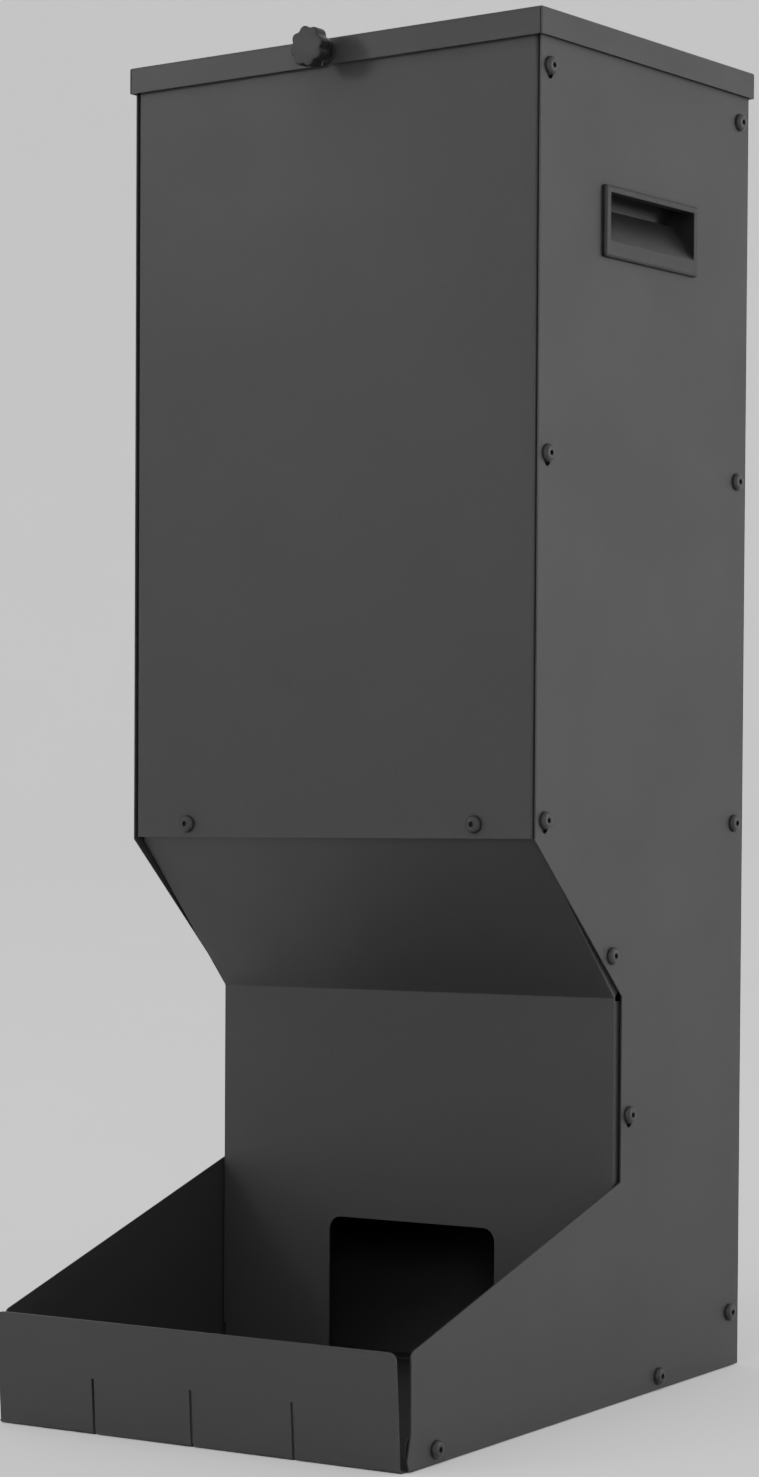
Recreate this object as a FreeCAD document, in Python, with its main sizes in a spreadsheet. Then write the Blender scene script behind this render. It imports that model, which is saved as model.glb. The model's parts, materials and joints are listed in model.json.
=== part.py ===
import FreeCAD, Part
import math
import os
import re
import Sketcher

# Gravity game feeder: a folded-sheet hopper with a sloping trough, a hinged lid held by a star
# knob, and recessed carrying handles. Everything is in millimetres. Each sub-part is drawn with
# the hopper upright, y = 0 on the outer face of the front panel, +y towards the back, and z = 0 on
# the trough's front edge. The trough's underside slopes in that drawing, so the Placement leans
# each sub-part back until the underside is level, as the feeder stands, with the origin under the
# middle.

doc = FreeCAD.newDocument("Feeder")
Vector = FreeCAD.Vector
X_AXIS = Vector(1, 0, 0)
Y_AXIS = Vector(0, 1, 0)
Z_AXIS = Vector(0, 0, 1)

SIZES = {
    "frame_y": 227.8, "sheet": 1.2, "bend_out": 2.0, "bend_in": 0.8,
    # Outline of a side panel, seen from the side.
    "half_width": 167.5, "depth": 253.0, "panel_top": 911.3, "waist_z": 387.0, "throat_y": 102.4,
    "throat_top_z": 285.3, "throat_low_z": 162.3, "trough_y": 130.7, "trough_z": 73.8,
    "toe_top_z": 23.5, "toe_y": 134.3, "toe_z": 7.0, "side_lift": 0.3, "slope": 3.83,
    "corner_round": 6.0, "toe_step": 2.0, "toe_round": 1.6, "past": 5.0,
    # Folded panels between the sides.
    "fold_half": 164.7, "flange": 20.0, "lap": 162.6, "return_flange": 12.0, "return_inset": 3.0,
    "front_low_z": 388.5, "back_low_z": 28.5,
    # Throat panel: a hidden top flange, a slanted face and an upright face with the feed port.
    "throat_gap": 1.5, "throat_flange_top": 411.0, "throat_bend_z": 391.3, "throat_face_y": 97.0,
    "throat_bend_low_z": 284.0, "throat_low_end": 17.6, "throat_notch_z": 43.0,
    "slant_from": 24.0, "slant_to": 143.0, "port_half": 70.0, "port_top": 125.5, "port_round": 9.5,
    # Trough tray, drawn level from its front edge, as it stands.
    "lip_y": 137.6, "lip_height": 75.0, "lip_half": 164.0, "lip_round": 5.5, "tray_length": 391.0,
    "tray_flange": 21.0, "tray_flange_end": 320.0, "tab_start": 6.0, "tab_round": 7.0,
    "slit_pitch": 82.0, "slit_width": 2.0, "slit_height": 36.8, "slit_depth": 5.0,
    # Feed ramp from the back panel down to the tray.
    "ramp_half": 162.0, "ramp_top": 140.0, "ramp_bend": 118.0, "ramp_foot_y": 170.0,
    "ramp_foot": 15.0, "ramp_mitre": 0.72,
    # Lid pan.
    "lid_half": 170.4, "lid_front": 3.7, "lid_back": 255.7, "lid_top": 914.0, "lid_low": 896.4,
    "lid_round": 0.8, "lid_edge": 1.5, "lid_seam": 0.5, "notch_half": 3.5,
    # Handles.
    "handle_y": 127.5, "handle_half": 56.4, "handle_low": 766.0, "handle_high": 812.7,
    "handle_proud": 3.5, "grip_half": 50.7, "grip_low": 776.5, "grip_high": 808.0,
    "cup_half": 53.0, "cup_wall": 2.2, "crest_depth": 14.8, "crest_z": 799.8, "cup_depth": 20.2,
    "cup_top": 818.0, "cutout_low": 780.1, "cutout_high": 810.3, "cutout_gap": 0.3,
    "handle_round": 2.0, "crest_wall": 1.2, "crest_lean": 1.9, "cup_join": 0.5, "cup_clear": 0.2,
    "brow": 2.0,
    # Screws and rivet nuts, M6.
    "screw_r": 3.0, "screw_length": 14.0, "head_r": 5.85, "head_height": 3.5, "head_round": 2.9,
    "socket_r": 1.9, "socket_depth": 2.2, "hole_r": 3.3, "slot_drop": 5.0, "nut_bore": 3.05,
    "nut_r": 4.4, "nut_head_r": 6.0, "nut_head": 1.4, "nut_bulge_r": 5.1, "nut_bulge": 2.6,
    "nut_length": 12.0, "nut_hole_r": 4.45, "edge_screw_y": 10.0, "back_screw_y": 241.0,
    "high_screw_z": 878.5, "middle_screw_z": 634.0, "low_screw_z": 400.3, "back_low_screw_z": 63.0,
    "slant_screw_y": 89.7, "slant_screw_z": 312.1, "throat_screw_y": 111.8,
    "throat_screw_z": 206.5, "tray_screw_front": 34.0, "tray_screw_back": 290.0,
    "tray_screw_z": 9.2, "front_screw_x": 119.4, "front_screw_z": 397.7,
    # Star knob, its stud and washer.
    "knob_z": 904.9, "stud_r": 3.0, "stud_in": 9.0, "stud_out": 20.0, "washer_r": 7.0,
    "washer": 1.2, "washer_gap": 0.1, "hub_r": 6.2, "head_start": 15.0,
    "knob_face": 27.0, "knob_core_r": 11.6, "lobe_r": 3.0, "lobe_circle": 10.3, "lobe_count": 8.0,
    "lobe_turn": 10.75,
    # Hinges at the back of the lid.
    "hinge_x": 112.0, "hinge_half": 25.0, "pin_y": 256.3, "pin_z": 892.9, "pin_r": 1.5,
    "pin_run": 0.05, "knuckle_r": 2.9, "knuckle_gap": 0.2, "leaf_low": 862.0, "leaf_high": 912.0,
    "leaf_start": 896.3, "fixed_leaf_stop": 889.3, "rivet_r": 2.0, "rivet_head_r": 3.4,
    "rivet_head": 0.9, "fixed_rivet_z": 872.0, "lid_rivet_z": 905.5, "rivet_pitch": 17.0,
    "ramp_rivet_x": 120.0, "ramp_rivet_z": 130.0,
}

sheet = doc.addObject("Spreadsheet::Sheet", "Sizes")
for row, (alias, value) in enumerate(SIZES.items(), start=1):
    sheet.set(f"A{row}", alias)
    sheet.set(f"B{row}", str(value))
    sheet.setAlias(f"B{row}", alias)
doc.recompute()


def size(alias):
    """A driving size, as a number, for the shapes made in Part's own functions."""
    return float(sheet.get(alias))


def bound(formula):
    """Write a formula of bare aliases as an expression on the sheet."""
    return re.sub("[a-z_]+", lambda m: f"Sizes.{m[0]}" if m[0] in SIZES else m[0], formula)


def worked(formula):
    """The number that a formula gives now."""
    return float(sheet.evalExpression(bound(formula)))


def to_frame(piece):
    """Lean a sub-part back from the upright drawing onto the level underside of its trough."""
    piece.Placement = FreeCAD.Placement(Vector(0, 0, 0), FreeCAD.Rotation(X_AXIS * -1, size("slope")))
    piece.setExpression("Placement.Rotation.Angle", bound("slope"))
    piece.setExpression("Placement.Base.y", bound("lip_y * cos(slope * 1deg) - frame_y"))
    piece.setExpression("Placement.Base.z", bound("- lip_y * sin(slope * 1deg)"))


def new_body(name):
    body = doc.addObject("PartDesign::Body", name)
    body.Label = name
    return body


def new_sketch(body, name, plane, offset="0"):
    """A sketch on one of the body's own planes, moved along that plane's normal."""
    sketch = body.newObject("Sketcher::SketchObject", name)
    origin_planes = [o for o in body.Origin.OriginFeatures if o.Role == plane]
    sketch.AttachmentSupport = [(origin_planes[0], "")]
    sketch.MapMode = "FlatFace"
    sketch.setExpression("AttachmentOffset.Base.z", bound(offset))
    return sketch


def pin_point(sketch, element, point, across, up):
    """Bind one point of a sketch to two formulas."""
    for kind, formula in (("DistanceX", across), ("DistanceY", up)):
        constraint = Sketcher.Constraint(kind, -1, 1, element, point, worked(formula))
        index = sketch.addConstraint(constraint)
        sketch.setExpression(f"Constraints[{index}]", bound(formula))


def add_outline(sketch, points):
    """A closed outline through points given as pairs of formulas."""
    corners = [Vector(worked(across), worked(up), 0) for across, up in points]
    following = corners[1:] + corners[:1]
    lines = [sketch.addGeometry(Part.LineSegment(a, b), False) for a, b in zip(corners, following)]
    for line, after in zip(lines, lines[1:] + lines[:1]):
        sketch.addConstraint(Sketcher.Constraint("Coincident", line, 2, after, 1))
    for line, (across, up) in zip(lines, points):
        pin_point(sketch, line, 1, across, up)


def add_box(sketch, left, right, low, high):
    add_outline(sketch, [(left, low), (right, low), (right, high), (left, high)])


def add_circle(sketch, across, up, radius):
    centre = Vector(worked(across), worked(up), 0)
    circle = sketch.addGeometry(Part.Circle(centre, Z_AXIS, worked(radius)), False)
    pin_point(sketch, circle, 3, across, up)
    index = sketch.addConstraint(Sketcher.Constraint("Radius", circle, worked(radius)))
    sketch.setExpression(f"Constraints[{index}]", bound(radius))


def add_upright_slot(sketch, across, low, high, radius):
    """A slot with round ends, from one end's centre to the other's."""
    x, low_y, high_y, r = (worked(f) for f in (across, low, high, radius))
    top = Part.Circle(Vector(x, high_y, 0), Z_AXIS, r)
    foot = Part.Circle(Vector(x, low_y, 0), Z_AXIS, r)
    top_arc = sketch.addGeometry(Part.ArcOfCircle(top, 0, math.pi), False)
    left = Part.LineSegment(Vector(x - r, high_y, 0), Vector(x - r, low_y, 0))
    left_line = sketch.addGeometry(left, False)
    foot_arc = sketch.addGeometry(Part.ArcOfCircle(foot, math.pi, 2 * math.pi), False)
    right = Part.LineSegment(Vector(x + r, low_y, 0), Vector(x + r, high_y, 0))
    right_line = sketch.addGeometry(right, False)
    loop = [top_arc, left_line, foot_arc, right_line]
    for element, after in zip(loop, loop[1:] + loop[:1]):
        sketch.addConstraint(Sketcher.Constraint("Tangent", element, 2, after, 1))
    pin_point(sketch, top_arc, 3, across, high)
    pin_point(sketch, foot_arc, 3, across, low)
    index = sketch.addConstraint(Sketcher.Constraint("Radius", top_arc, r))
    sketch.setExpression(f"Constraints[{index}]", bound(radius))


def add_feature(body, kind, name, sketch, length, back=False, middle=False):
    """A Pad or Pocket of a sketch, its length bound to a formula."""
    feature = body.newObject(f"PartDesign::{kind}", name)
    feature.Profile = sketch
    feature.Type = 0
    feature.setExpression("Length", bound(length))
    feature.Reversed = back
    feature.Midplane = middle
    sketch.Visibility = False
    body.Tip = feature
    doc.recompute()
    return feature


def pocket_checked(body, name, sketch, length, back=False, middle=False):
    """A Pocket that must take material away."""
    before = body.Shape.Volume
    feature = add_feature(body, "Pocket", name, sketch, length, back, middle)
    if body.Shape.Volume > before - 0.01 or not body.Shape.isValid():
        raise RuntimeError(f"{name} fails or cuts nothing")
    return feature


def edges_along(shape, direction, places, reach=0.05):
    """The names of the straight edges that run along a direction through any of the places."""
    names = []
    for number, edge in enumerate(shape.Edges, start=1):
        if edge.Curve.TypeId != "Part::GeomLine":
            continue
        if abs(abs(edge.Curve.Direction.dot(direction)) - 1) > 1e-6:
            continue
        start = edge.Vertexes[0].Point
        for place in places:
            offset = place - start
            off_line = offset - direction * offset.dot(direction)
            if off_line.Length < reach:
                names.append(f"Edge{number}")
                break
    return names


def round_edges(body, name, direction, places, radius):
    """A Fillet on the edges that run along a direction through the places."""
    base = body.Tip
    names = edges_along(base.Shape, direction, places)
    if not names:
        raise RuntimeError(f"{name} finds no edge")
    fillet = body.newObject("PartDesign::Fillet", name)
    fillet.Base = (base, names)
    fillet.setExpression("Radius", bound(radius))
    body.Tip = fillet
    doc.recompute()
    if "Invalid" in fillet.State or not fillet.Shape.isValid():
        raise RuntimeError(f"{name} fails")
    return fillet


def at(x="0", y="0", z="0"):
    return Vector(worked(x), worked(y), worked(z))


# ------------------------------------------------------------------ where the screws go

SIDE_SCREWS = [
    ("edge_screw_y", "high_screw_z", True), ("edge_screw_y", "middle_screw_z", True),
    ("edge_screw_y", "low_screw_z", True), ("back_screw_y", "high_screw_z", False),
    ("back_screw_y", "middle_screw_z", False), ("back_screw_y", "low_screw_z", False),
    ("back_screw_y", "back_low_screw_z", False), ("slant_screw_y", "slant_screw_z", False),
    ("throat_screw_y", "throat_screw_z", True),
]
COS_SLOPE = "cos(slope * 1deg)"
SIN_SLOPE = "sin(slope * 1deg)"
TRAY_SCREWS = [
    (f"tray_screw_front * {COS_SLOPE} - tray_screw_z * {SIN_SLOPE} - lip_y",
     f"tray_screw_front * {SIN_SLOPE} + tray_screw_z * {COS_SLOPE}", False),
    (f"tray_screw_back * {COS_SLOPE} - tray_screw_z * {SIN_SLOPE} - lip_y",
     f"tray_screw_back * {SIN_SLOPE} + tray_screw_z * {COS_SLOPE}", False),
]


def base_line(y):
    """Height of the trough's sloping underside at a place y."""
    return f"( {y} + lip_y ) * tan(slope * 1deg)"


# ------------------------------------------------------------------ side panels

def make_side_panel(name, side):
    """A flat panel whose outline is hopper, slanted cut, throat and trough; side is 1 or -1."""
    body = new_body(name)
    inner = "half_width - sheet" if side > 0 else "- half_width"
    outline = new_sketch(body, name + "_outline", "YZ_Plane", inner)
    add_outline(outline, [
        ("0", "panel_top"), ("0", "waist_z"), ("throat_y", "throat_top_z"),
        ("throat_y", "throat_low_z"), ("- trough_y", "trough_z"), ("- trough_y", "toe_top_z"),
        ("- toe_y", "toe_z"), ("toe_step - toe_y", base_line("- toe_y") + " + side_lift"),
        ("depth", base_line("depth") + " + side_lift"), ("depth", "panel_top"),
    ])
    add_feature(body, "Pad", name + "_pad", outline, "sheet")
    round_edges(body, name + "_corner", X_AXIS, [at(y="- trough_y", z="trough_z")], "corner_round")
    toe = [at(y="- toe_y", z="toe_z"), at(y="- trough_y", z="toe_top_z"),
           at(y="toe_step - toe_y", z=base_line("- toe_y") + " + side_lift")]
    round_edges(body, name + "_toe", X_AXIS, toe, "toe_round")
    holes = new_sketch(body, name + "_holes", "YZ_Plane", inner)
    for y, z, slotted in SIDE_SCREWS + TRAY_SCREWS:
        if slotted:
            add_upright_slot(holes, y, f"{z} - slot_drop", z, "hole_r")
        else:
            add_circle(holes, y, z, "hole_r")
    add_box(holes, "handle_y - cup_half - cutout_gap", "handle_y + cup_half + cutout_gap",
            "cutout_low - cutout_gap", "cutout_high + cutout_gap")
    pocket_checked(body, name + "_cut", holes, "sheet", back=True)
    to_frame(body)
    return body


right_side_panel = make_side_panel("right_side_panel", 1)
left_side_panel = make_side_panel("left_side_panel", -1)


# ------------------------------------------------------------------ front and back panels

def make_wall(name, face, inward, low):
    """A folded wall: a face, a flange down each side and a return along the top."""
    body = new_body(name)
    step = "+" if inward > 0 else "-"
    inner = f"{face} {step} sheet"
    flange_end = f"{face} {step} flange"
    section = new_sketch(body, name + "_section", "XY_Plane", low)
    add_outline(section, [
        ("- fold_half", flange_end), ("- fold_half", face), ("fold_half", face),
        ("fold_half", flange_end), ("fold_half - sheet", flange_end),
        ("fold_half - sheet", inner), ("sheet - fold_half", inner),
        ("sheet - fold_half", flange_end),
    ])
    add_feature(body, "Pad", name + "_pad", section, f"panel_top - {low}")
    outer = [at(x="fold_half", y=face), at(x="- fold_half", y=face)]
    round_edges(body, name + "_bend_out", Z_AXIS, outer, "bend_out")
    inside = [at(x="fold_half - sheet", y=inner), at(x="sheet - fold_half", y=inner)]
    round_edges(body, name + "_bend_in", Z_AXIS, inside, "bend_in")
    top = new_sketch(body, name + "_return", "XY_Plane", "panel_top - sheet")
    add_box(top, "sheet - fold_half + return_inset", "fold_half - sheet - return_inset",
            inner, f"{face} {step} return_flange")
    add_feature(body, "Pad", name + "_return_pad", top, "sheet")
    return body


def add_flange_holes(body, name, places):
    """Rivet nut holes through both side flanges."""
    holes = new_sketch(body, name, "YZ_Plane")
    for y, z in places:
        add_circle(holes, y, z, "nut_hole_r")
    pocket_checked(body, name + "_cut", holes, "2 * ( fold_half + past )", middle=True)


front_panel = make_wall("front_panel", "0", 1, "front_low_z")
add_flange_holes(front_panel, "front_flange_holes",
                 [(y, z) for y, z, _ in SIDE_SCREWS if y == "edge_screw_y"])
front_holes = new_sketch(front_panel, "front_face_holes", "XZ_Plane")
add_circle(front_holes, "front_screw_x", "front_screw_z", "hole_r")
add_circle(front_holes, "- front_screw_x", "front_screw_z", "hole_r")
add_circle(front_holes, "0", "knob_z", "nut_hole_r")
pocket_checked(front_panel, "front_face_cut", front_holes, "4 * sheet", middle=True)
to_frame(front_panel)

back_panel = make_wall("back_panel", "depth", -1, "back_low_z")
add_flange_holes(back_panel, "back_flange_holes",
                 [(y, z) for y, z, _ in SIDE_SCREWS if y == "back_screw_y"])
back_holes = new_sketch(back_panel, "back_face_holes", "XZ_Plane", "- depth")
for side in ("", "- "):
    for step in ("- rivet_pitch", "+ 0", "+ rivet_pitch"):
        add_circle(back_holes, f"{side}( hinge_x {step} )", "fixed_rivet_z", "rivet_r")
for x in ("- ramp_rivet_x", "0", "ramp_rivet_x"):
    add_circle(back_holes, x, "ramp_rivet_z", "rivet_r")
pocket_checked(back_panel, "back_face_cut", back_holes, "4 * sheet", middle=True)
to_frame(back_panel)


# ------------------------------------------------------------------ throat panel

SLANT_Y = "( throat_face_y - sheet - throat_gap )"
SLANT_Z = "( throat_bend_z - throat_bend_low_z )"
SLANT_LENGTH = f"sqrt({SLANT_Y} ^ 2 + {SLANT_Z} ^ 2 )"


def on_slant(along, inward):
    """A point on the slanted face, from its top bend, as two formulas."""
    y = f"sheet + throat_gap + ( {along} * {SLANT_Y} + {inward} * {SLANT_Z} ) / {SLANT_LENGTH}"
    z = f"throat_bend_z + ( {inward} * {SLANT_Y} - {along} * {SLANT_Z} ) / {SLANT_LENGTH}"
    return y, z


HALF_BEND = f"tan(atan({SLANT_Y} / {SLANT_Z}) / 2)"

throat_panel = new_body("throat_panel")
profile = new_sketch(throat_panel, "throat_profile", "YZ_Plane")
inner_low_z = f"throat_bend_low_z + sheet * {HALF_BEND}"
add_outline(profile, [
    ("sheet + throat_gap", "throat_flange_top"), ("sheet + throat_gap", "throat_bend_z"),
    ("throat_face_y", "throat_bend_low_z"), ("throat_face_y", "throat_low_end"),
    ("throat_face_y + sheet", "throat_low_end"), ("throat_face_y + sheet", inner_low_z),
    ("2 * sheet + throat_gap", f"throat_bend_z + sheet * {HALF_BEND}"),
    ("2 * sheet + throat_gap", "throat_flange_top"),
])
add_feature(throat_panel, "Pad", "throat_pad", profile, "2 * fold_half", middle=True)
round_edges(throat_panel, "throat_bend_low", X_AXIS,
            [at(y="throat_face_y", z="throat_bend_low_z")], "bend_out")
for side, edge in (("right", "fold_half - sheet"), ("left", "- fold_half")):
    flange = new_sketch(throat_panel, f"slant_flange_{side}", "YZ_Plane", edge)
    add_outline(flange, [on_slant("slant_from", "0.5 * sheet"), on_slant("slant_to", "0.5 * sheet"),
                         on_slant("slant_to", "flange"), on_slant("slant_from", "flange")])
    add_feature(throat_panel, "Pad", f"slant_flange_{side}_pad", flange, "sheet")
    upright = new_sketch(throat_panel, f"upright_flange_{side}", "YZ_Plane", edge)
    add_box(upright, "throat_face_y + 0.5 * sheet", "throat_face_y + flange",
            "throat_notch_z", "throat_bend_low_z - bend_out")
    add_feature(throat_panel, "Pad", f"upright_flange_{side}_pad", upright, "sheet")
corners = [at(x="fold_half", y="throat_face_y"), at(x="- fold_half", y="throat_face_y")]
round_edges(throat_panel, "throat_side_bends", Z_AXIS, corners, "bend_in")
port = new_sketch(throat_panel, "feed_port", "XZ_Plane", "- throat_face_y")
add_box(port, "- port_half", "port_half", "throat_low_end - past", "port_top")
for side, sign in (("right", ""), ("left", "- ")):
    add_box(port, f"{sign}lap", f"{sign}( fold_half + past )", "throat_low_end - past",
            "throat_notch_z")
pocket_checked(throat_panel, "feed_port_cut", port, "4 * sheet", middle=True)
round_edges(throat_panel, "feed_port_corners", Y_AXIS,
            [at(x="port_half", z="port_top"), at(x="- port_half", z="port_top")], "port_round")
notches = new_sketch(throat_panel, "top_notches", "XZ_Plane")
for sign in ("", "- "):
    add_box(notches, f"{sign}lap", f"{sign}( fold_half + past )", "front_low_z - sheet",
            "throat_flange_top + past")
pocket_checked(throat_panel, "top_notch_cut", notches, "40", middle=True)
throat_holes = new_sketch(throat_panel, "throat_side_holes", "YZ_Plane")
add_circle(throat_holes, "slant_screw_y", "slant_screw_z", "nut_hole_r")
add_circle(throat_holes, "throat_screw_y", "throat_screw_z", "nut_hole_r")
pocket_checked(throat_panel, "throat_side_cut", throat_holes, "2 * ( fold_half + past )", middle=True)
throat_top = new_sketch(throat_panel, "throat_top_holes", "XZ_Plane")
add_circle(throat_top, "front_screw_x", "front_screw_z", "nut_hole_r")
add_circle(throat_top, "- front_screw_x", "front_screw_z", "nut_hole_r")
pocket_checked(throat_panel, "throat_top_cut", throat_top, "20", middle=True)
to_frame(throat_panel)


# ------------------------------------------------------------------ trough tray

trough_tray = new_body("trough_tray")
tray_profile = new_sketch(trough_tray, "tray_profile", "YZ_Plane")
add_outline(tray_profile, [
    ("0", "0"), ("tray_length", "0"), ("tray_length", "sheet"), ("sheet", "sheet"),
    ("sheet", "lip_height"), ("0", "lip_height"),
])
add_feature(trough_tray, "Pad", "tray_pad", tray_profile, "2 * fold_half", middle=True)
round_edges(trough_tray, "lip_bend_out", X_AXIS, [at()], "bend_out")
round_edges(trough_tray, "lip_bend_in", X_AXIS, [at(y="sheet", z="sheet")], "bend_in")
lip_sides = new_sketch(trough_tray, "lip_sides", "XZ_Plane", "sheet")
for sign in ("", "- "):
    add_box(lip_sides, f"{sign}lip_half", f"{sign}( fold_half + past )", "2 * sheet",
            "lip_height + past")
pocket_checked(trough_tray, "lip_side_cut", lip_sides, "3 * sheet")
round_edges(trough_tray, "lip_corners", Y_AXIS,
            [at(x="lip_half", z="lip_height"), at(x="- lip_half", z="lip_height")], "lip_round")
for side, edge in (("right", "fold_half - sheet"), ("left", "- fold_half")):
    flange = new_sketch(trough_tray, f"tray_flange_{side}", "YZ_Plane", edge)
    add_box(flange, "tab_start", "tray_flange_end", "0", "tray_flange")
    add_feature(trough_tray, "Pad", f"tray_flange_{side}_pad", flange, "sheet")
round_edges(trough_tray, "tab_ends", X_AXIS, [at(y="tab_start", z="tray_flange")], "tab_round")
slits = new_sketch(trough_tray, "slits", "XZ_Plane", "2 * sheet")
for place in ("- slit_pitch", "0", "slit_pitch"):
    add_box(slits, f"{place} - 0.5 * slit_width", f"{place} + 0.5 * slit_width", "- past",
            "slit_height")
pocket_checked(trough_tray, "slit_cut", slits, "2 * sheet + slit_depth")
tray_holes = new_sketch(trough_tray, "tray_holes", "YZ_Plane")
add_circle(tray_holes, "tray_screw_front", "tray_screw_z", "nut_hole_r")
add_circle(tray_holes, "tray_screw_back", "tray_screw_z", "nut_hole_r")
pocket_checked(trough_tray, "tray_side_cut", tray_holes, "2 * ( fold_half + past )", middle=True)
trough_tray.setExpression("Placement.Base.y", bound("- frame_y"))


# ------------------------------------------------------------------ feed ramp

def above_tray(y, up):
    """Height of a point that lies a distance above the tray's upper face."""
    return f"{base_line(y)} + ( sheet + {up} ) / {COS_SLOPE}"


ramp_back = "depth - sheet"
feed_ramp = new_body("feed_ramp")
ramp_profile = new_sketch(feed_ramp, "ramp_profile", "YZ_Plane")
add_outline(ramp_profile, [
    (ramp_back, "ramp_top"), (f"{ramp_back} - sheet", "ramp_top"),
    (f"{ramp_back} - sheet", "ramp_bend"), ("ramp_foot_y", above_tray("ramp_foot_y", "sheet")),
    ("ramp_foot_y - ramp_foot", above_tray("ramp_foot_y - ramp_foot", "sheet")),
    ("ramp_foot_y - ramp_foot", above_tray("ramp_foot_y - ramp_foot", "0")),
    ("ramp_foot_y + ramp_mitre", above_tray("ramp_foot_y + ramp_mitre", "0")),
    (ramp_back, "ramp_bend - ramp_mitre"),
])
add_feature(feed_ramp, "Pad", "ramp_pad", ramp_profile, "2 * ramp_half", middle=True)
ramp_holes = new_sketch(feed_ramp, "ramp_holes", "XZ_Plane", "- depth")
for x in ("- ramp_rivet_x", "0", "ramp_rivet_x"):
    add_circle(ramp_holes, x, "ramp_rivet_z", "rivet_r")
pocket_checked(feed_ramp, "ramp_cut", ramp_holes, "10 * sheet", middle=True)
to_frame(feed_ramp)


# ------------------------------------------------------------------ lid pan

lid_pan = new_body("lid_pan")
lid_outline = new_sketch(lid_pan, "lid_outline", "XY_Plane", "lid_low")
add_box(lid_outline, "- lid_half", "lid_half", "- lid_front", "lid_back")
add_feature(lid_pan, "Pad", "lid_pad", lid_outline, "lid_top - lid_low")
posts = [at(x=x, y=y) for x in ("lid_half", "- lid_half") for y in ("- lid_front", "lid_back")]
round_edges(lid_pan, "lid_corners", Z_AXIS, posts, "lid_round")
rims = [at(y="- lid_front", z="lid_top"), at(y="lid_back", z="lid_top")]
round_edges(lid_pan, "lid_rim", X_AXIS, rims, "lid_edge")
lid_inside = new_sketch(lid_pan, "lid_inside", "XY_Plane", "lid_low")
add_box(lid_inside, "sheet - lid_half", "lid_half - sheet", "sheet - lid_front",
        "lid_back - sheet")
pocket_checked(lid_pan, "lid_hollow", lid_inside, "lid_top - lid_low - sheet", back=True)
lid_seams = new_sketch(lid_pan, "lid_seams", "XZ_Plane", "- 0.5 * ( lid_back - lid_front )")
for left in ("lid_half - sheet - lid_seam", "sheet - lid_half"):
    add_box(lid_seams, left, f"{left} + lid_seam", "lid_low - past", "lid_top - sheet")
pocket_checked(lid_pan, "lid_seam_cut", lid_seams, "lid_back + lid_front + 2 * past", middle=True)
knob_notch = new_sketch(lid_pan, "knob_notch", "XZ_Plane", "lid_front")
add_upright_slot(knob_notch, "0", "lid_low - 2 * notch_half", "knob_z", "notch_half")
pocket_checked(lid_pan, "knob_notch_cut", knob_notch, "4 * sheet", middle=True)
lid_holes = new_sketch(lid_pan, "lid_rivet_holes", "XZ_Plane", "- lid_back")
for side in ("", "- "):
    for step in ("- rivet_pitch", "+ 0", "+ rivet_pitch"):
        add_circle(lid_holes, f"{side}( hinge_x {step} )", "lid_rivet_z", "rivet_r")
pocket_checked(lid_pan, "lid_rivet_cut", lid_holes, "4 * sheet", middle=True)
to_frame(lid_pan)


# ------------------------------------------------------------------ recessed handles

def make_handle(name, side):
    """A moulded frame proud of the panel, with a cup whose floor slopes up to a crest."""
    body = new_body(name)
    sign = "" if side > 0 else "- "

    def out(depth):
        return f"{sign}( half_width + handle_proud - ( {depth} ) )"

    skin = "handle_proud + sheet + cup_clear"
    frame_sketch = new_sketch(body, name + "_frame", "XZ_Plane", "- handle_y")
    add_box(frame_sketch, out("0"), out("handle_proud"), "handle_low", "handle_high")
    add_feature(body, "Pad", name + "_frame_pad", frame_sketch, "2 * handle_half", middle=True)
    posts = [at(x=out("0"), z=z) for z in ("handle_low", "handle_high")]
    round_edges(body, name + "_frame_edge", Y_AXIS, posts, "handle_round")
    ends = [at(x=out("0"), y=y) for y in ("handle_y - handle_half", "handle_y + handle_half")]
    round_edges(body, name + "_frame_ends", Z_AXIS, ends, "handle_round")
    cup = new_sketch(body, name + "_cup", "XZ_Plane", "- handle_y")
    crest_low = "crest_z - crest_wall"
    back = "cup_depth + cup_wall"
    brow_end = "handle_proud + sheet + brow"
    add_outline(cup, [
        (out("handle_proud - cup_join"), "cutout_low"), (out(skin), "cutout_low"),
        (out("crest_depth + crest_lean"), crest_low), (out(back), crest_low),
        (out(back), "cup_top + cup_wall"), (out(skin), "cup_top + cup_wall"),
        (out(skin), "cutout_high"), (out("handle_proud - cup_join"), "cutout_high"),
    ])
    add_feature(body, "Pad", name + "_cup_pad", cup, "2 * cup_half", middle=True)
    hollow = new_sketch(body, name + "_hollow", "XZ_Plane", "- handle_y")
    add_outline(hollow, [
        (out("- past"), "grip_low"), (out("0"), "grip_low"), (out("crest_depth"), "crest_z"),
        (out("cup_depth"), "crest_z"), (out("cup_depth"), "cup_top"),
        (out(brow_end), "cup_top"), (out(brow_end), "grip_high"),
        (out("- past"), "grip_high"),
    ])
    pocket_checked(body, name + "_hollow_cut", hollow, "2 * grip_half", middle=True)
    to_frame(body)
    return body


handle_right = make_handle("handle_right", 1)
handle_left = make_handle("handle_left", -1)


# ------------------------------------------------------------------ screws and rivet nuts

def turned(points):
    """A solid turned about the X axis from (along, radius) points."""
    corners = [Vector(along, radius, 0) for along, radius in points]
    wire = Part.makePolygon(corners + corners[:1])
    return Part.Face(wire).revolve(Vector(0, 0, 0), X_AXIS, 360)


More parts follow.
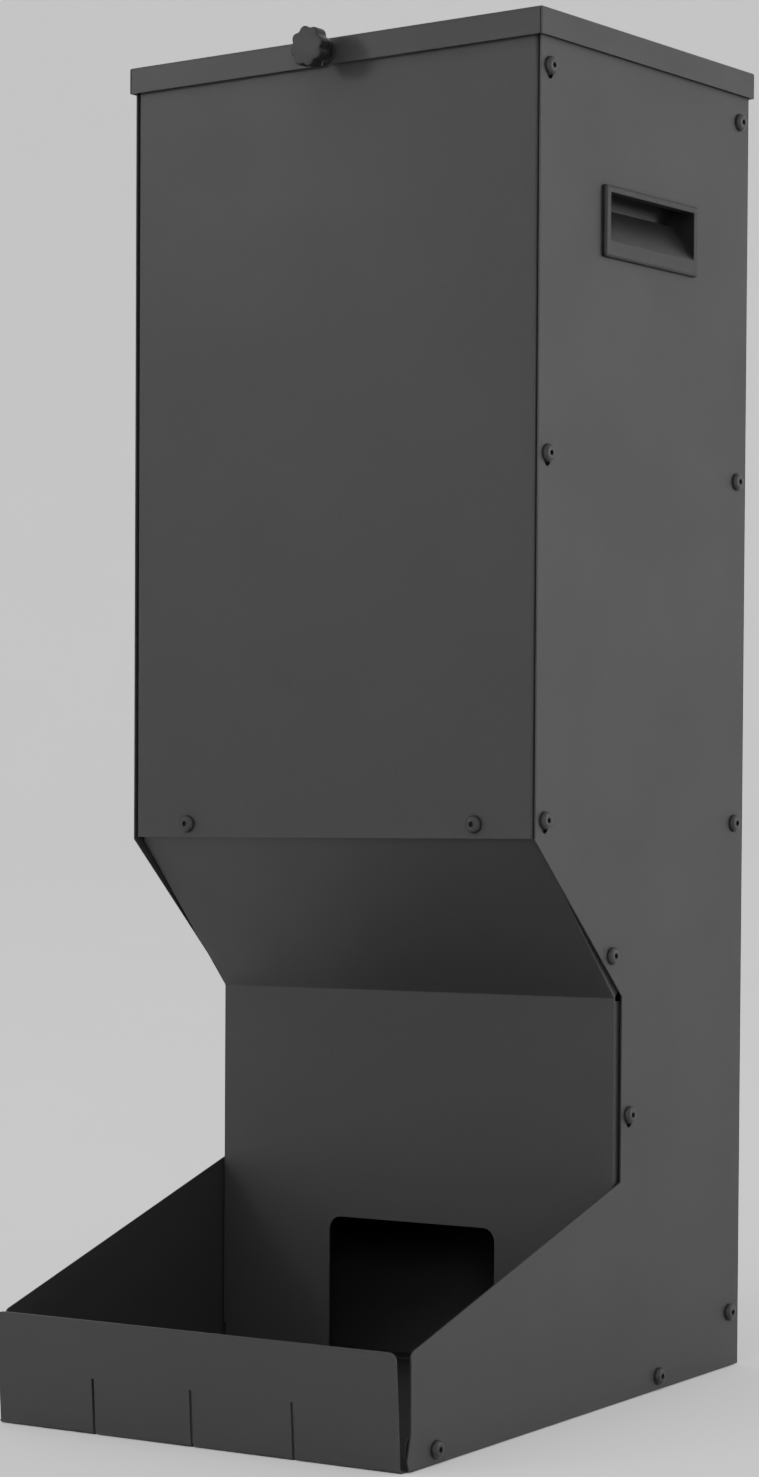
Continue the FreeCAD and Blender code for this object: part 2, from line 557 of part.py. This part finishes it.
def button_screw():
    """A button-head socket screw along -X, the seat of its head at the origin."""
    head = Part.makeCylinder(size("head_r"), size("head_height"), Vector(0, 0, 0), X_AXIS)
    crown = [e for e in head.Edges if e.CenterOfMass.x > 0.9 * size("head_height")]
    head = head.makeFillet(size("head_round"), crown)
    corners = [Vector(size("head_height") + 1, size("socket_r") * math.cos(math.radians(60 * k)),
                      size("socket_r") * math.sin(math.radians(60 * k))) for k in range(7)]
    socket = Part.Face(Part.makePolygon(corners)).extrude(X_AXIS * -(size("socket_depth") + 1))
    shank = Part.makeCylinder(size("screw_r"), size("screw_length"), Vector(0, 0, 0), X_AXIS * -1)
    return head.fuse(shank).cut(socket).removeSplitter()


def rivet_nut():
    """A rivet nut along -X, the outer face of its sheet at the origin, set in that sheet."""
    head, gauge = size("nut_head"), size("sheet")
    bore, barrel, bulge = size("nut_bore"), size("nut_r"), size("nut_bulge_r")
    bulge_end = -gauge - size("nut_bulge")
    return turned([(head, bore), (head, size("nut_head_r")), (0, size("nut_head_r")), (0, barrel),
                   (-gauge, barrel), (-gauge, bulge), (bulge_end, bulge), (bulge_end, barrel),
                   (head - size("nut_length"), barrel), (head - size("nut_length"), bore)])


def rivet(grip):
    """A blind rivet along -X through a stack of sheet, the outer face at the origin."""
    head, head_r, stem = size("rivet_head"), size("rivet_head_r"), size("rivet_r")
    return turned([(head, 0), (head, 0.5 * head_r), (0.4 * head, head_r), (0, head_r), (0, stem),
                   (-grip, stem), (-grip, 1.4 * stem), (-grip - head, 1.4 * stem),
                   (-grip - head, 0)])


def facing(direction):
    """The rotation that turns +X to a direction."""
    return FreeCAD.Rotation(X_AXIS, direction)


def make_group(name, solid, places, direction):
    """Separate copies of one solid at many places, as one sub-part."""
    copies = []
    for place in places:
        copy = solid.copy()
        copy.Placement = FreeCAD.Placement(place, facing(direction))
        copies.append(copy)
    feature = doc.addObject("Part::Feature", name)
    feature.Label = name
    feature.Shape = Part.makeCompound(copies)
    to_frame(feature)
    return feature


screw = button_screw()
nut = rivet_nut()
side_places = [(y, z) for y, z, _ in SIDE_SCREWS + TRAY_SCREWS]
groups = []
for side, sign, direction in (("right", "", X_AXIS), ("left", "- ", X_AXIS * -1)):
    heads = [at(f"{sign}half_width", y, z) for y, z in side_places]
    seats = [at(f"{sign}fold_half", y, z) for y, z in side_places]
    groups.append(make_group(f"side_screws_{side}", screw, heads, direction))
    groups.append(make_group(f"side_nuts_{side}", nut, seats, direction))
front_seats = [at(f"{s}front_screw_x", "0", "front_screw_z") for s in ("", "- ")]
throat_seats = [at(f"{s}front_screw_x", "sheet + throat_gap", "front_screw_z") for s in ("", "- ")]
groups.append(make_group("front_screws", screw, front_seats, Y_AXIS * -1))
groups.append(make_group("front_nuts", nut, throat_seats, Y_AXIS * -1))
groups.append(make_group("knob_nut", nut, [at(z="knob_z")], Y_AXIS * -1))


# ------------------------------------------------------------------ star knob

washer_face = "( lid_front + washer_gap )"
hub_start = f"( {washer_face} + washer )"

washer = new_body("knob_washer")
washer_sketch = new_sketch(washer, "washer_ring", "XZ_Plane", washer_face)
add_circle(washer_sketch, "0", "knob_z", "washer_r")
add_circle(washer_sketch, "0", "knob_z", "stud_r + pin_run")
add_feature(washer, "Pad", "washer_pad", washer_sketch, "washer")
to_frame(washer)

knob_stud = new_body("knob_stud")
stud_sketch = new_sketch(knob_stud, "stud_circle", "XZ_Plane", "- stud_in")
add_circle(stud_sketch, "0", "knob_z", "stud_r")
add_feature(knob_stud, "Pad", "stud_pad", stud_sketch, "stud_in + stud_out")
to_frame(knob_stud)

knob_grip = new_body("knob_grip")
hub_sketch = new_sketch(knob_grip, "hub_circle", "XZ_Plane", hub_start)
add_circle(hub_sketch, "0", "knob_z", "hub_r")
add_feature(knob_grip, "Pad", "hub_pad", hub_sketch, f"head_start - {hub_start}")
core_sketch = new_sketch(knob_grip, "core_circle", "XZ_Plane", "head_start")
add_circle(core_sketch, "0", "knob_z", "knob_core_r")
add_feature(knob_grip, "Pad", "core_pad", core_sketch, "knob_face - head_start")
lobes = new_sketch(knob_grip, "lobe_circles", "XZ_Plane", "head_start")
for count in range(int(size("lobe_count"))):
    angle = f"( lobe_turn + {count} * 360 / lobe_count ) * 1deg"
    add_circle(lobes, f"lobe_circle * cos({angle})", f"knob_z + lobe_circle * sin({angle})",
               "lobe_r")
add_feature(knob_grip, "Pad", "lobe_pad", lobes, "knob_face - head_start")
stud_hole = new_sketch(knob_grip, "stud_hole", "XZ_Plane", hub_start)
add_circle(stud_hole, "0", "knob_z", "stud_r")
pocket_checked(knob_grip, "stud_hole_cut", stud_hole, f"stud_out - {hub_start}", back=True)
to_frame(knob_grip)


# ------------------------------------------------------------------ lid hinges

KNUCKLES = 5


def knuckle_span(index):
    """The x range of one knuckle, from the middle of its hinge."""
    width = 2 * size("hinge_half") / KNUCKLES
    start = -size("hinge_half") + index * width
    return start + size("knuckle_gap") / 2, start + width - size("knuckle_gap") / 2


def make_leaf(name, centre_x, knuckles, plate_y, low, high, reach, bore, rivet_z):
    """A hinge leaf: a plate, a strip from it to each of its knuckles, and the knuckles."""
    gauge = size("sheet")
    parts = [Part.makeBox(2 * size("hinge_half"), gauge, high - low,
                          Vector(-size("hinge_half"), plate_y, low))]
    pin_z = size("pin_z")
    for index in knuckles:
        start, end = knuckle_span(index)
        strip_low, strip_high = sorted((pin_z, reach))
        parts.append(Part.makeBox(end - start, gauge, strip_high - strip_low,
                                  Vector(start, plate_y, strip_low)))
        parts.append(Part.makeCylinder(size("knuckle_r"), end - start,
                                       Vector(start, size("pin_y"), pin_z), X_AXIS))
    leaf = parts[0].multiFuse(parts[1:])
    axis_start = Vector(-size("hinge_half") - 1, size("pin_y"), pin_z)
    leaf = leaf.cut(Part.makeCylinder(bore, 2 * size("hinge_half") + 2, axis_start, X_AXIS))
    for step in (-1, 0, 1):
        seat = Vector(step * size("rivet_pitch"), plate_y - 1, rivet_z)
        leaf = leaf.cut(Part.makeCylinder(size("rivet_r"), gauge + 2, seat, Y_AXIS))
    feature = doc.addObject("Part::Feature", name)
    feature.Label = name
    feature.Shape = leaf.removeSplitter()
    to_frame(feature)
    feature.Placement.Base.x = centre_x
    return feature


leaves = []
for side, sign in (("right", 1), ("left", -1)):
    centre_x = sign * size("hinge_x")
    leaves.append(make_leaf(f"hinge_fixed_leaf_{side}", centre_x, (0, 2, 4), size("depth"),
                            size("leaf_low"), size("fixed_leaf_stop"), size("fixed_leaf_stop"),
                            size("pin_r"), size("fixed_rivet_z")))
    leaves.append(make_leaf(f"hinge_lid_leaf_{side}", centre_x, (1, 3), size("lid_back"),
                            size("leaf_start"), size("leaf_high"), size("leaf_start"),
                            size("pin_r") + size("pin_run"), size("lid_rivet_z")))
    pin_start = "hinge_x - hinge_half" if sign > 0 else "- hinge_x - hinge_half"
    pin = new_body(f"hinge_pin_{side}")
    pin_sketch = new_sketch(pin, f"pin_circle_{side}", "YZ_Plane", pin_start)
    add_circle(pin_sketch, "pin_y", "pin_z", "pin_r")
    add_feature(pin, "Pad", f"pin_pad_{side}", pin_sketch, "2 * hinge_half")
    to_frame(pin)
    leaves.append(pin)

hinge_xs = [sign * size("hinge_x") + step * size("rivet_pitch")
            for sign in (1, -1) for step in (-1, 0, 1)]
leaf_stack = 2 * size("sheet")
fixed_seats = [Vector(x, size("depth") + size("sheet"), size("fixed_rivet_z")) for x in hinge_xs]
lid_seats = [Vector(x, size("lid_back") + size("sheet"), size("lid_rivet_z")) for x in hinge_xs]
groups.append(make_group("hinge_body_rivets", rivet(leaf_stack), fixed_seats, Y_AXIS))
groups.append(make_group("hinge_lid_rivets", rivet(leaf_stack), lid_seats, Y_AXIS))
ramp_xs = [-size("ramp_rivet_x"), 0, size("ramp_rivet_x")]
ramp_seats = [Vector(x, size("depth"), size("ramp_rivet_z")) for x in ramp_xs]
groups.append(make_group("ramp_back_rivets", rivet(leaf_stack), ramp_seats, Y_AXIS))


# ------------------------------------------------------------------ check and write

subparts = [right_side_panel, left_side_panel, front_panel, back_panel, throat_panel, trough_tray,
            feed_ramp, lid_pan, handle_right, handle_left, washer, knob_stud, knob_grip]
subparts += groups + leaves
doc.recompute()
for item in doc.Objects:
    if "Invalid" in item.State or "Error" in item.State:
        raise RuntimeError(f"{item.Name} failed: {item.State}")
os.makedirs("parts", exist_ok=True)
for item in subparts:
    if item.Shape.isNull() or not item.Shape.isValid():
        raise RuntimeError(f"{item.Label} has no valid shape")
for item in subparts:
    item.Shape.exportStep(f"parts/{item.Label}.step")
    box = item.Shape.BoundBox
    print(f"{item.Label:22s} solids {len(item.Shape.Solids):2d} volume {item.Shape.Volume:10.1f} "
          f"x {box.XMin:7.1f} {box.XMax:7.1f} y {box.YMin:7.1f} {box.YMax:7.1f} "
          f"z {box.ZMin:6.1f} {box.ZMax:6.1f}")
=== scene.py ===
import json
import math

import bpy
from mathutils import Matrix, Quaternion, Vector


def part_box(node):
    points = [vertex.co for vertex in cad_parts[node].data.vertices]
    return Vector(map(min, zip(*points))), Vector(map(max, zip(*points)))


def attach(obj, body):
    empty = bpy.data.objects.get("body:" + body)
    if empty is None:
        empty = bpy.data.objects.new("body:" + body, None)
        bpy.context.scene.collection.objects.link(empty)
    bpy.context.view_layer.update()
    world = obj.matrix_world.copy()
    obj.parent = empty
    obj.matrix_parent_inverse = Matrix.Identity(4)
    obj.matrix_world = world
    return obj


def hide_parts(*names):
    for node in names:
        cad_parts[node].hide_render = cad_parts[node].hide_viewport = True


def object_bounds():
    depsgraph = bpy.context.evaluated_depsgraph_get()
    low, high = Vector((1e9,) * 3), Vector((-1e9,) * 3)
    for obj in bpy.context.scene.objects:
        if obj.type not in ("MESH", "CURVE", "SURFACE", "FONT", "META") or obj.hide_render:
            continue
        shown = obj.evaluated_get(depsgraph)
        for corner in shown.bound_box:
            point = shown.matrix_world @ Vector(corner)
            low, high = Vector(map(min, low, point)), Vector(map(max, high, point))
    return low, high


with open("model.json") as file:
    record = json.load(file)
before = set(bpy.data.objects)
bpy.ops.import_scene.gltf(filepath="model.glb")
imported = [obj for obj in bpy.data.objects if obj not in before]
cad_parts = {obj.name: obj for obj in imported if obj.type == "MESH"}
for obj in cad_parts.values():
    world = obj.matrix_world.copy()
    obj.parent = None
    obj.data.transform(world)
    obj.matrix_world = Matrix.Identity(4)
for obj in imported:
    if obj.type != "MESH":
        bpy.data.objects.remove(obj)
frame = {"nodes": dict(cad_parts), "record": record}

# Gravity game feeder in black powder-coated sheet. Lengths are in metres, in the part's own frame.

CAD_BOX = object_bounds()
NODES = frame["nodes"]

# The hopper leans back by this angle when the trough's underside is level.
LEAN = math.radians(3.83)
LEAN_TURN = Quaternion((1, 0, 0), -LEAN)

# Distances back from the trough's front edge, which the hopper leans about.
EDGE_TO_HOPPER_FRONT = 0.1376
EDGE_TO_ORIGIN = 0.2278


def from_upright(place):
    """A place given with the hopper upright and y = 0 on its front, in the part's frame."""
    turned = LEAN_TURN @ (Vector(place) + Vector((0.0, EDGE_TO_HOPPER_FRONT, 0.0)))
    return turned - Vector((0.0, EDGE_TO_ORIGIN, 0.0))


# ------------------------------------------------------------------ materials

def new_material(name):
    material = bpy.data.materials.new(name)
    material.use_nodes = True
    tree = material.node_tree
    tree.nodes.clear()
    output = tree.nodes.new("ShaderNodeOutputMaterial")
    shader = tree.nodes.new("ShaderNodeBsdfPrincipled")
    tree.links.new(shader.outputs["BSDF"], output.inputs["Surface"])
    return material, tree, shader


def noise(tree, scale, detail, roughness=0.5):
    """Noise in the part's own coordinates, with scale in features per metre."""
    place = tree.nodes.new("ShaderNodeTexCoord")
    texture = tree.nodes.new("ShaderNodeTexNoise")
    texture.inputs["Scale"].default_value = scale
    texture.inputs["Detail"].default_value = detail
    texture.inputs["Roughness"].default_value = roughness
    tree.links.new(place.outputs["Object"], texture.inputs["Vector"])
    return texture.outputs["Fac"]


def spread(tree, value, low, high):
    """Map the middle of a noise onto a range."""
    noise_low, noise_high = 0.3, 0.7
    node = tree.nodes.new("ShaderNodeMapRange")
    node.inputs["From Min"].default_value = noise_low
    node.inputs["From Max"].default_value = noise_high
    node.inputs["To Min"].default_value = low
    node.inputs["To Max"].default_value = high
    tree.links.new(value, node.inputs["Value"])
    return node.outputs["Result"]


def between(tree, factor, dark, light):
    """A colour that moves between two greys as the factor goes from 0 to 1."""
    ramp = tree.nodes.new("ShaderNodeValToRGB")
    ramp.color_ramp.elements[0].color = (*dark, 1.0)
    ramp.color_ramp.elements[1].color = (*light, 1.0)
    tree.links.new(factor, ramp.inputs["Fac"])
    return ramp.outputs["Color"]


def add_bump(tree, shader, height, strength, distance):
    bump = tree.nodes.new("ShaderNodeBump")
    bump.inputs["Strength"].default_value = strength
    bump.inputs["Distance"].default_value = distance
    tree.links.new(height, bump.inputs["Height"])
    tree.links.new(bump.outputs["Normal"], shader.inputs["Normal"])


def powder_coat():
    """Satin black powder coat: a fine orange peel over faint drifts in gloss."""
    material, tree, shader = new_material("powder_coat")
    drift = noise(tree, 14.0, 3.0)
    fleck = noise(tree, 1500.0, 2.0)
    shade = between(tree, spread(tree, fleck, 0.0, 1.0), (0.0262, 0.0263, 0.0267),
                    (0.0330, 0.0331, 0.0336))
    tree.links.new(shade, shader.inputs["Base Color"])
    tree.links.new(spread(tree, drift, 0.50, 0.56), shader.inputs["Roughness"])
    shader.inputs["Specular IOR Level"].default_value = 0.24
    shader.inputs["Coat Weight"].default_value = 0.03
    shader.inputs["Coat Roughness"].default_value = 0.2
    add_bump(tree, shader, noise(tree, 850.0, 3.0, 0.6), 0.16, 0.0001)
    return material


def black_plastic():
    """Moulded black plastic with a fine spark-eroded grain."""
    material, tree, shader = new_material("black_plastic")
    grain = noise(tree, 2400.0, 3.0, 0.65)
    drift = noise(tree, 60.0, 2.0)
    shade = between(tree, spread(tree, drift, 0.0, 1.0), (0.0122, 0.0122, 0.0125),
                    (0.0160, 0.0160, 0.0164))
    tree.links.new(shade, shader.inputs["Base Color"])
    tree.links.new(spread(tree, drift, 0.38, 0.48), shader.inputs["Roughness"])
    shader.inputs["Specular IOR Level"].default_value = 0.23
    add_bump(tree, shader, grain, 0.3, 0.00008)
    return material


def black_steel():
    """Black-oxide steel: dark, slightly metallic, with fine mottling."""
    material, tree, shader = new_material("black_steel")
    mottle = noise(tree, 420.0, 4.0, 0.6)
    shade = between(tree, spread(tree, mottle, 0.0, 1.0), (0.0150, 0.0150, 0.0156),
                    (0.0245, 0.0245, 0.0252))
    tree.links.new(shade, shader.inputs["Base Color"])
    tree.links.new(spread(tree, mottle, 0.40, 0.52), shader.inputs["Roughness"])
    shader.inputs["Metallic"].default_value = 0.15
    shader.inputs["Specular IOR Level"].default_value = 0.35
    add_bump(tree, shader, noise(tree, 2600.0, 2.0), 0.15, 0.00004)
    return material


MATERIALS = {"powder_coat": powder_coat(), "black_plastic": black_plastic(),
             "black_steel": black_steel()}
SLOT_OF = {s["node"]: s["material_slot"] for s in frame["record"]["subparts"]}


def dress(piece, slot_name):
    piece.data.materials.clear()
    piece.data.materials.append(MATERIALS[slot_name])


# ------------------------------------------------------------------ CAD pieces

def mark_flat_faces(mesh, least_width):
    """Shade a mesh smooth except on its broad flat faces, which keep their own exact normal."""
    same_plane = 0.999998
    micrometre_digits = 6
    key_of = [tuple(round(c, micrometre_digits) for c in vertex.co) for vertex in mesh.vertices]
    beside = {}
    for polygon in mesh.polygons:
        corners = [key_of[v] for v in polygon.vertices]
        for a, b in zip(corners, corners[1:] + corners[:1]):
            if a != b:
                beside.setdefault((min(a, b), max(a, b)), []).append(polygon.index)
    around = {}
    for edge, members in beside.items():
        for member in members:
            around.setdefault(member, []).append((edge, members))
    seen = set()
    for first in mesh.polygons:
        if first.index in seen:
            continue
        region, queue, area, rim = [], [first.index], 0.0, 0.0
        seen.add(first.index)
        while queue:
            current = queue.pop()
            region.append(current)
            area += mesh.polygons[current].area
            for edge, members in around.get(current, []):
                flat = [m for m in members if m != current
                        and mesh.polygons[m].normal.dot(first.normal) > same_plane]
                if not flat:
                    rim += (Vector(edge[0]) - Vector(edge[1])).length
                for m in flat:
                    if m not in seen:
                        seen.add(m)
                        queue.append(m)
        smooth = rim > 0 and 2 * area / rim < least_width
        for member in region:
            mesh.polygons[member].use_smooth = smooth


LEAST_FLAT_WIDTH = 0.0008
WELD_DISTANCE = 0.000002
FLATS_ANGLE = math.radians(1.0)
BEVEL_ANGLE = math.radians(32)


def soften(piece, width, broad):
    """Join the split corners of a CAD mesh and round its sharp edges a little.

    A broad piece has its flat faces made whole first, so that long thin triangles don't show.
    """
    custom = piece.data.attributes.get("custom_normal")
    if custom is not None:
        piece.data.attributes.remove(custom)
    mark_flat_faces(piece.data, LEAST_FLAT_WIDTH)
    weld = piece.modifiers.new("weld", "WELD")
    weld.merge_threshold = WELD_DISTANCE
    if broad:
        merge = piece.modifiers.new("flats", "DECIMATE")
        merge.decimate_type = "DISSOLVE"
        merge.angle_limit = FLATS_ANGLE
    bevel = piece.modifiers.new("edges", "BEVEL")
    bevel.width = width
    bevel.segments = 2
    bevel.limit_method = "ANGLE"
    bevel.angle_limit = BEVEL_ANGLE
    bevel.use_clamp_overlap = True


EDGE_WIDTH = {"powder_coat": 0.0004, "black_plastic": 0.0004, "black_steel": 0.00018}
for node_name, node in NODES.items():
    slot_name = SLOT_OF[node_name]
    dress(node, slot_name)
    soften(node, EDGE_WIDTH[slot_name], slot_name != "black_steel")


# ------------------------------------------------------------------ star knob

def lobed_radius(angle, lobes, core, circle, lobe):
    """Outer radius of a core with round lobes on a circle, at an angle from a lobe's middle.

    The core and the lobes are blended, more abruptly as the sharpness rises.
    """
    sharpness = 14.0
    step = 2 * math.pi / lobes
    off = (angle + step / 2) % step - step / 2
    sideways = circle * math.sin(off)
    reach = 0.0
    if abs(sideways) < lobe:
        reach = circle * math.cos(off) + math.sqrt(lobe * lobe - sideways * sideways)
    return (core ** sharpness + reach ** sharpness) ** (1 / sharpness)


def star_knob():
    """The knob as one closed skin of rings: its stud's bore, its hub, its lobes and its flat face."""
    low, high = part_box("knob_stud")
    stud_to_knob = 0.0105
    centre = (low + high) / 2 + LEAN_TURN @ Vector((0.0, -stud_to_knob, 0.0))
    turn = math.radians(10.75)
    tip = 0.0133
    depth = 0.022
    hub = 0.0062
    bore = 0.0030
    bore_end = 0.682
    core, lobe_circle, lobe = 0.875, 0.760, 0.240
    # Along from hub to face (0 to 1), radius, and how much of the lobed outline it takes on (0 to 1).
    profile = [
        (bore_end, bore, 0.0), (0.000, bore, 0.0), (0.000, 0.92 * hub, 0.0),
        (0.012, 0.99 * hub, 0.0), (0.05, hub, 0.0), (0.34, hub, 0.0),
        (0.40, 1.06 * hub, 0.0), (0.44, 1.30 * hub, 0.25), (0.465, 0.80 * tip, 0.75),
        (0.49, 0.90 * tip, 0.95), (0.53, 0.965 * tip, 1.0), (0.59, 0.995 * tip, 1.0),
        (0.66, tip, 1.0), (0.94, tip, 1.0), (0.965, 0.993 * tip, 1.0), (0.985, 0.975 * tip, 1.0),
        (0.996, 0.950 * tip, 1.0), (0.999, 0.925 * tip, 1.0), (1.000, 0.85 * tip, 0.95),
        (1.000, 0.60 * tip, 0.4), (1.000, 0.30 * tip, 0.0),
    ]
    count = 192
    lobes = 8
    verts, faces = [], []

    def add(x, along, z):
        verts.append(centre + LEAN_TURN @ Vector((x, depth * (0.5 - along), z)))

    for along, radius, lobed in profile:
        for index in range(count):
            angle = 2 * math.pi * index / count
            outline = lobed_radius(angle - turn, lobes, core, lobe_circle, lobe)
            r = radius * (1 - lobed + lobed * outline)
            add(r * math.cos(angle), along, r * math.sin(angle))
    for ring in range(len(profile) - 1):
        for index in range(count):
            after = (index + 1) % count
            a, b = ring * count + index, ring * count + after
            faces.append((a, b, b + count, a + count))
    bore_floor, front = len(verts), len(verts) + 1
    add(0.0, bore_end, 0.0)
    add(0.0, 1.0, 0.0)
    last = (len(profile) - 1) * count
    for index in range(count):
        after = (index + 1) % count
        faces.append((bore_floor, after, index))
        faces.append((front, last + index, last + after))
    mesh = bpy.data.meshes.new("star_knob")
    mesh.from_pydata(verts, [], faces)
    mesh.validate()
    for polygon in mesh.polygons:
        polygon.use_smooth = True
    piece = bpy.data.objects.new("star_knob", mesh)
    bpy.context.scene.collection.objects.link(piece)
    dress(piece, "black_plastic")
    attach(piece, "knob")
    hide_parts("knob_grip")


star_knob()


# ------------------------------------------------------------------ floor, light, camera

def flat_material(name, grey, roughness):
    """A matt grey that drifts very slightly."""
    material, tree, shader = new_material(name)
    shade = between(tree, spread(tree, noise(tree, 3.0, 2.0), 0.0, 1.0), (0.98 * grey,) * 3,
                    (grey,) * 3)
    tree.links.new(shade, shader.inputs["Base Color"])
    shader.inputs["Roughness"].default_value = roughness
    return material


def studio_floor():
    """A pale round floor that curves up into a wall, wide enough to stand a camera in."""
    flat, bend, height, around = 7.0, 2.0, 4.5, 128
    bend_steps = 24
    below_part = 0.0004
    line = [(flat, 0.0)]
    for step in range(1, bend_steps + 1):
        angle = math.pi / 2 * step / bend_steps
        line.append((flat + bend * math.sin(angle), bend - bend * math.cos(angle)))
    line.append((flat + bend, height))
    low = CAD_BOX[0].z - below_part
    verts = [(radius * math.cos(math.tau * step / around),
              radius * math.sin(math.tau * step / around), low + z)
             for radius, z in line for step in range(around)]
    faces = [tuple(range(around))]
    for ring in range(len(line) - 1):
        for step in range(around):
            a, b = ring * around + step, ring * around + (step + 1) % around
            faces.append((a, a + around, b + around, b))
    mesh = bpy.data.meshes.new("studio_floor")
    mesh.from_pydata(verts, [], faces)
    for polygon in mesh.polygons:
        polygon.use_smooth = True
    floor = bpy.data.objects.new("studio_floor", mesh)
    bpy.context.scene.collection.objects.link(floor)
    mesh.materials.append(flat_material("studio_floor", 0.9, 0.9))


def soft_light(name, place, aim, width, height, power):
    light = bpy.data.lights.new(name, "AREA")
    light.shape = "RECTANGLE"
    light.size = width
    light.size_y = height
    light.energy = power
    lamp = bpy.data.objects.new(name, light)
    lamp.location = Vector(place)
    lamp.rotation_mode = "QUATERNION"
    lamp.rotation_quaternion = (Vector(aim) - Vector(place)).to_track_quat("-Z", "Y")
    lamp.visible_camera = False
    bpy.context.scene.collection.objects.link(lamp)


def studio_camera():
    azimuth, elevation, roll = math.radians(36.6), math.radians(2.0), math.radians(0.33)
    distance = 2.606
    target = Vector((-0.0415, 0.1155, 0.2948))
    away = Vector((math.sin(azimuth) * math.cos(elevation),
                   -math.cos(azimuth) * math.cos(elevation), math.sin(elevation)))
    camera = bpy.data.cameras.new("studio_camera")
    camera.lens = 91.4
    camera.sensor_width = 36.0
    camera.shift_y = 0.159
    camera.dof.use_dof = False
    rig = bpy.data.objects.new("studio_camera", camera)
    rig.location = from_upright(target + away * distance)
    rig.rotation_mode = "QUATERNION"
    level = (-away).to_track_quat("-Z", "Y") @ Quaternion((0, 0, 1), roll)
    rig.rotation_quaternion = LEAN_TURN @ level
    bpy.context.scene.collection.objects.link(rig)
    bpy.context.scene.camera = rig


studio_floor()
soft_light("key", (-2.3, -2.5, 1.8), (0.0, 0.0, 0.45), 0.7, 0.7, 19.0)
soft_light("camera_side", (2.8, -3.5, 1.45), (0.0, 0.0, 0.3), 0.7, 0.9, 39.0)
soft_light("side_key", (3.1, 2.3, 1.0), (0.1, 0.1, 0.3), 1.0, 0.9, 42.0)
world = bpy.data.worlds.new("studio")
world.use_nodes = True
world.node_tree.nodes["Background"].inputs["Color"].default_value = (1.0, 1.0, 1.0, 1.0)
world.node_tree.nodes["Background"].inputs["Strength"].default_value = 1.2
bpy.context.scene.world = world
studio_camera()
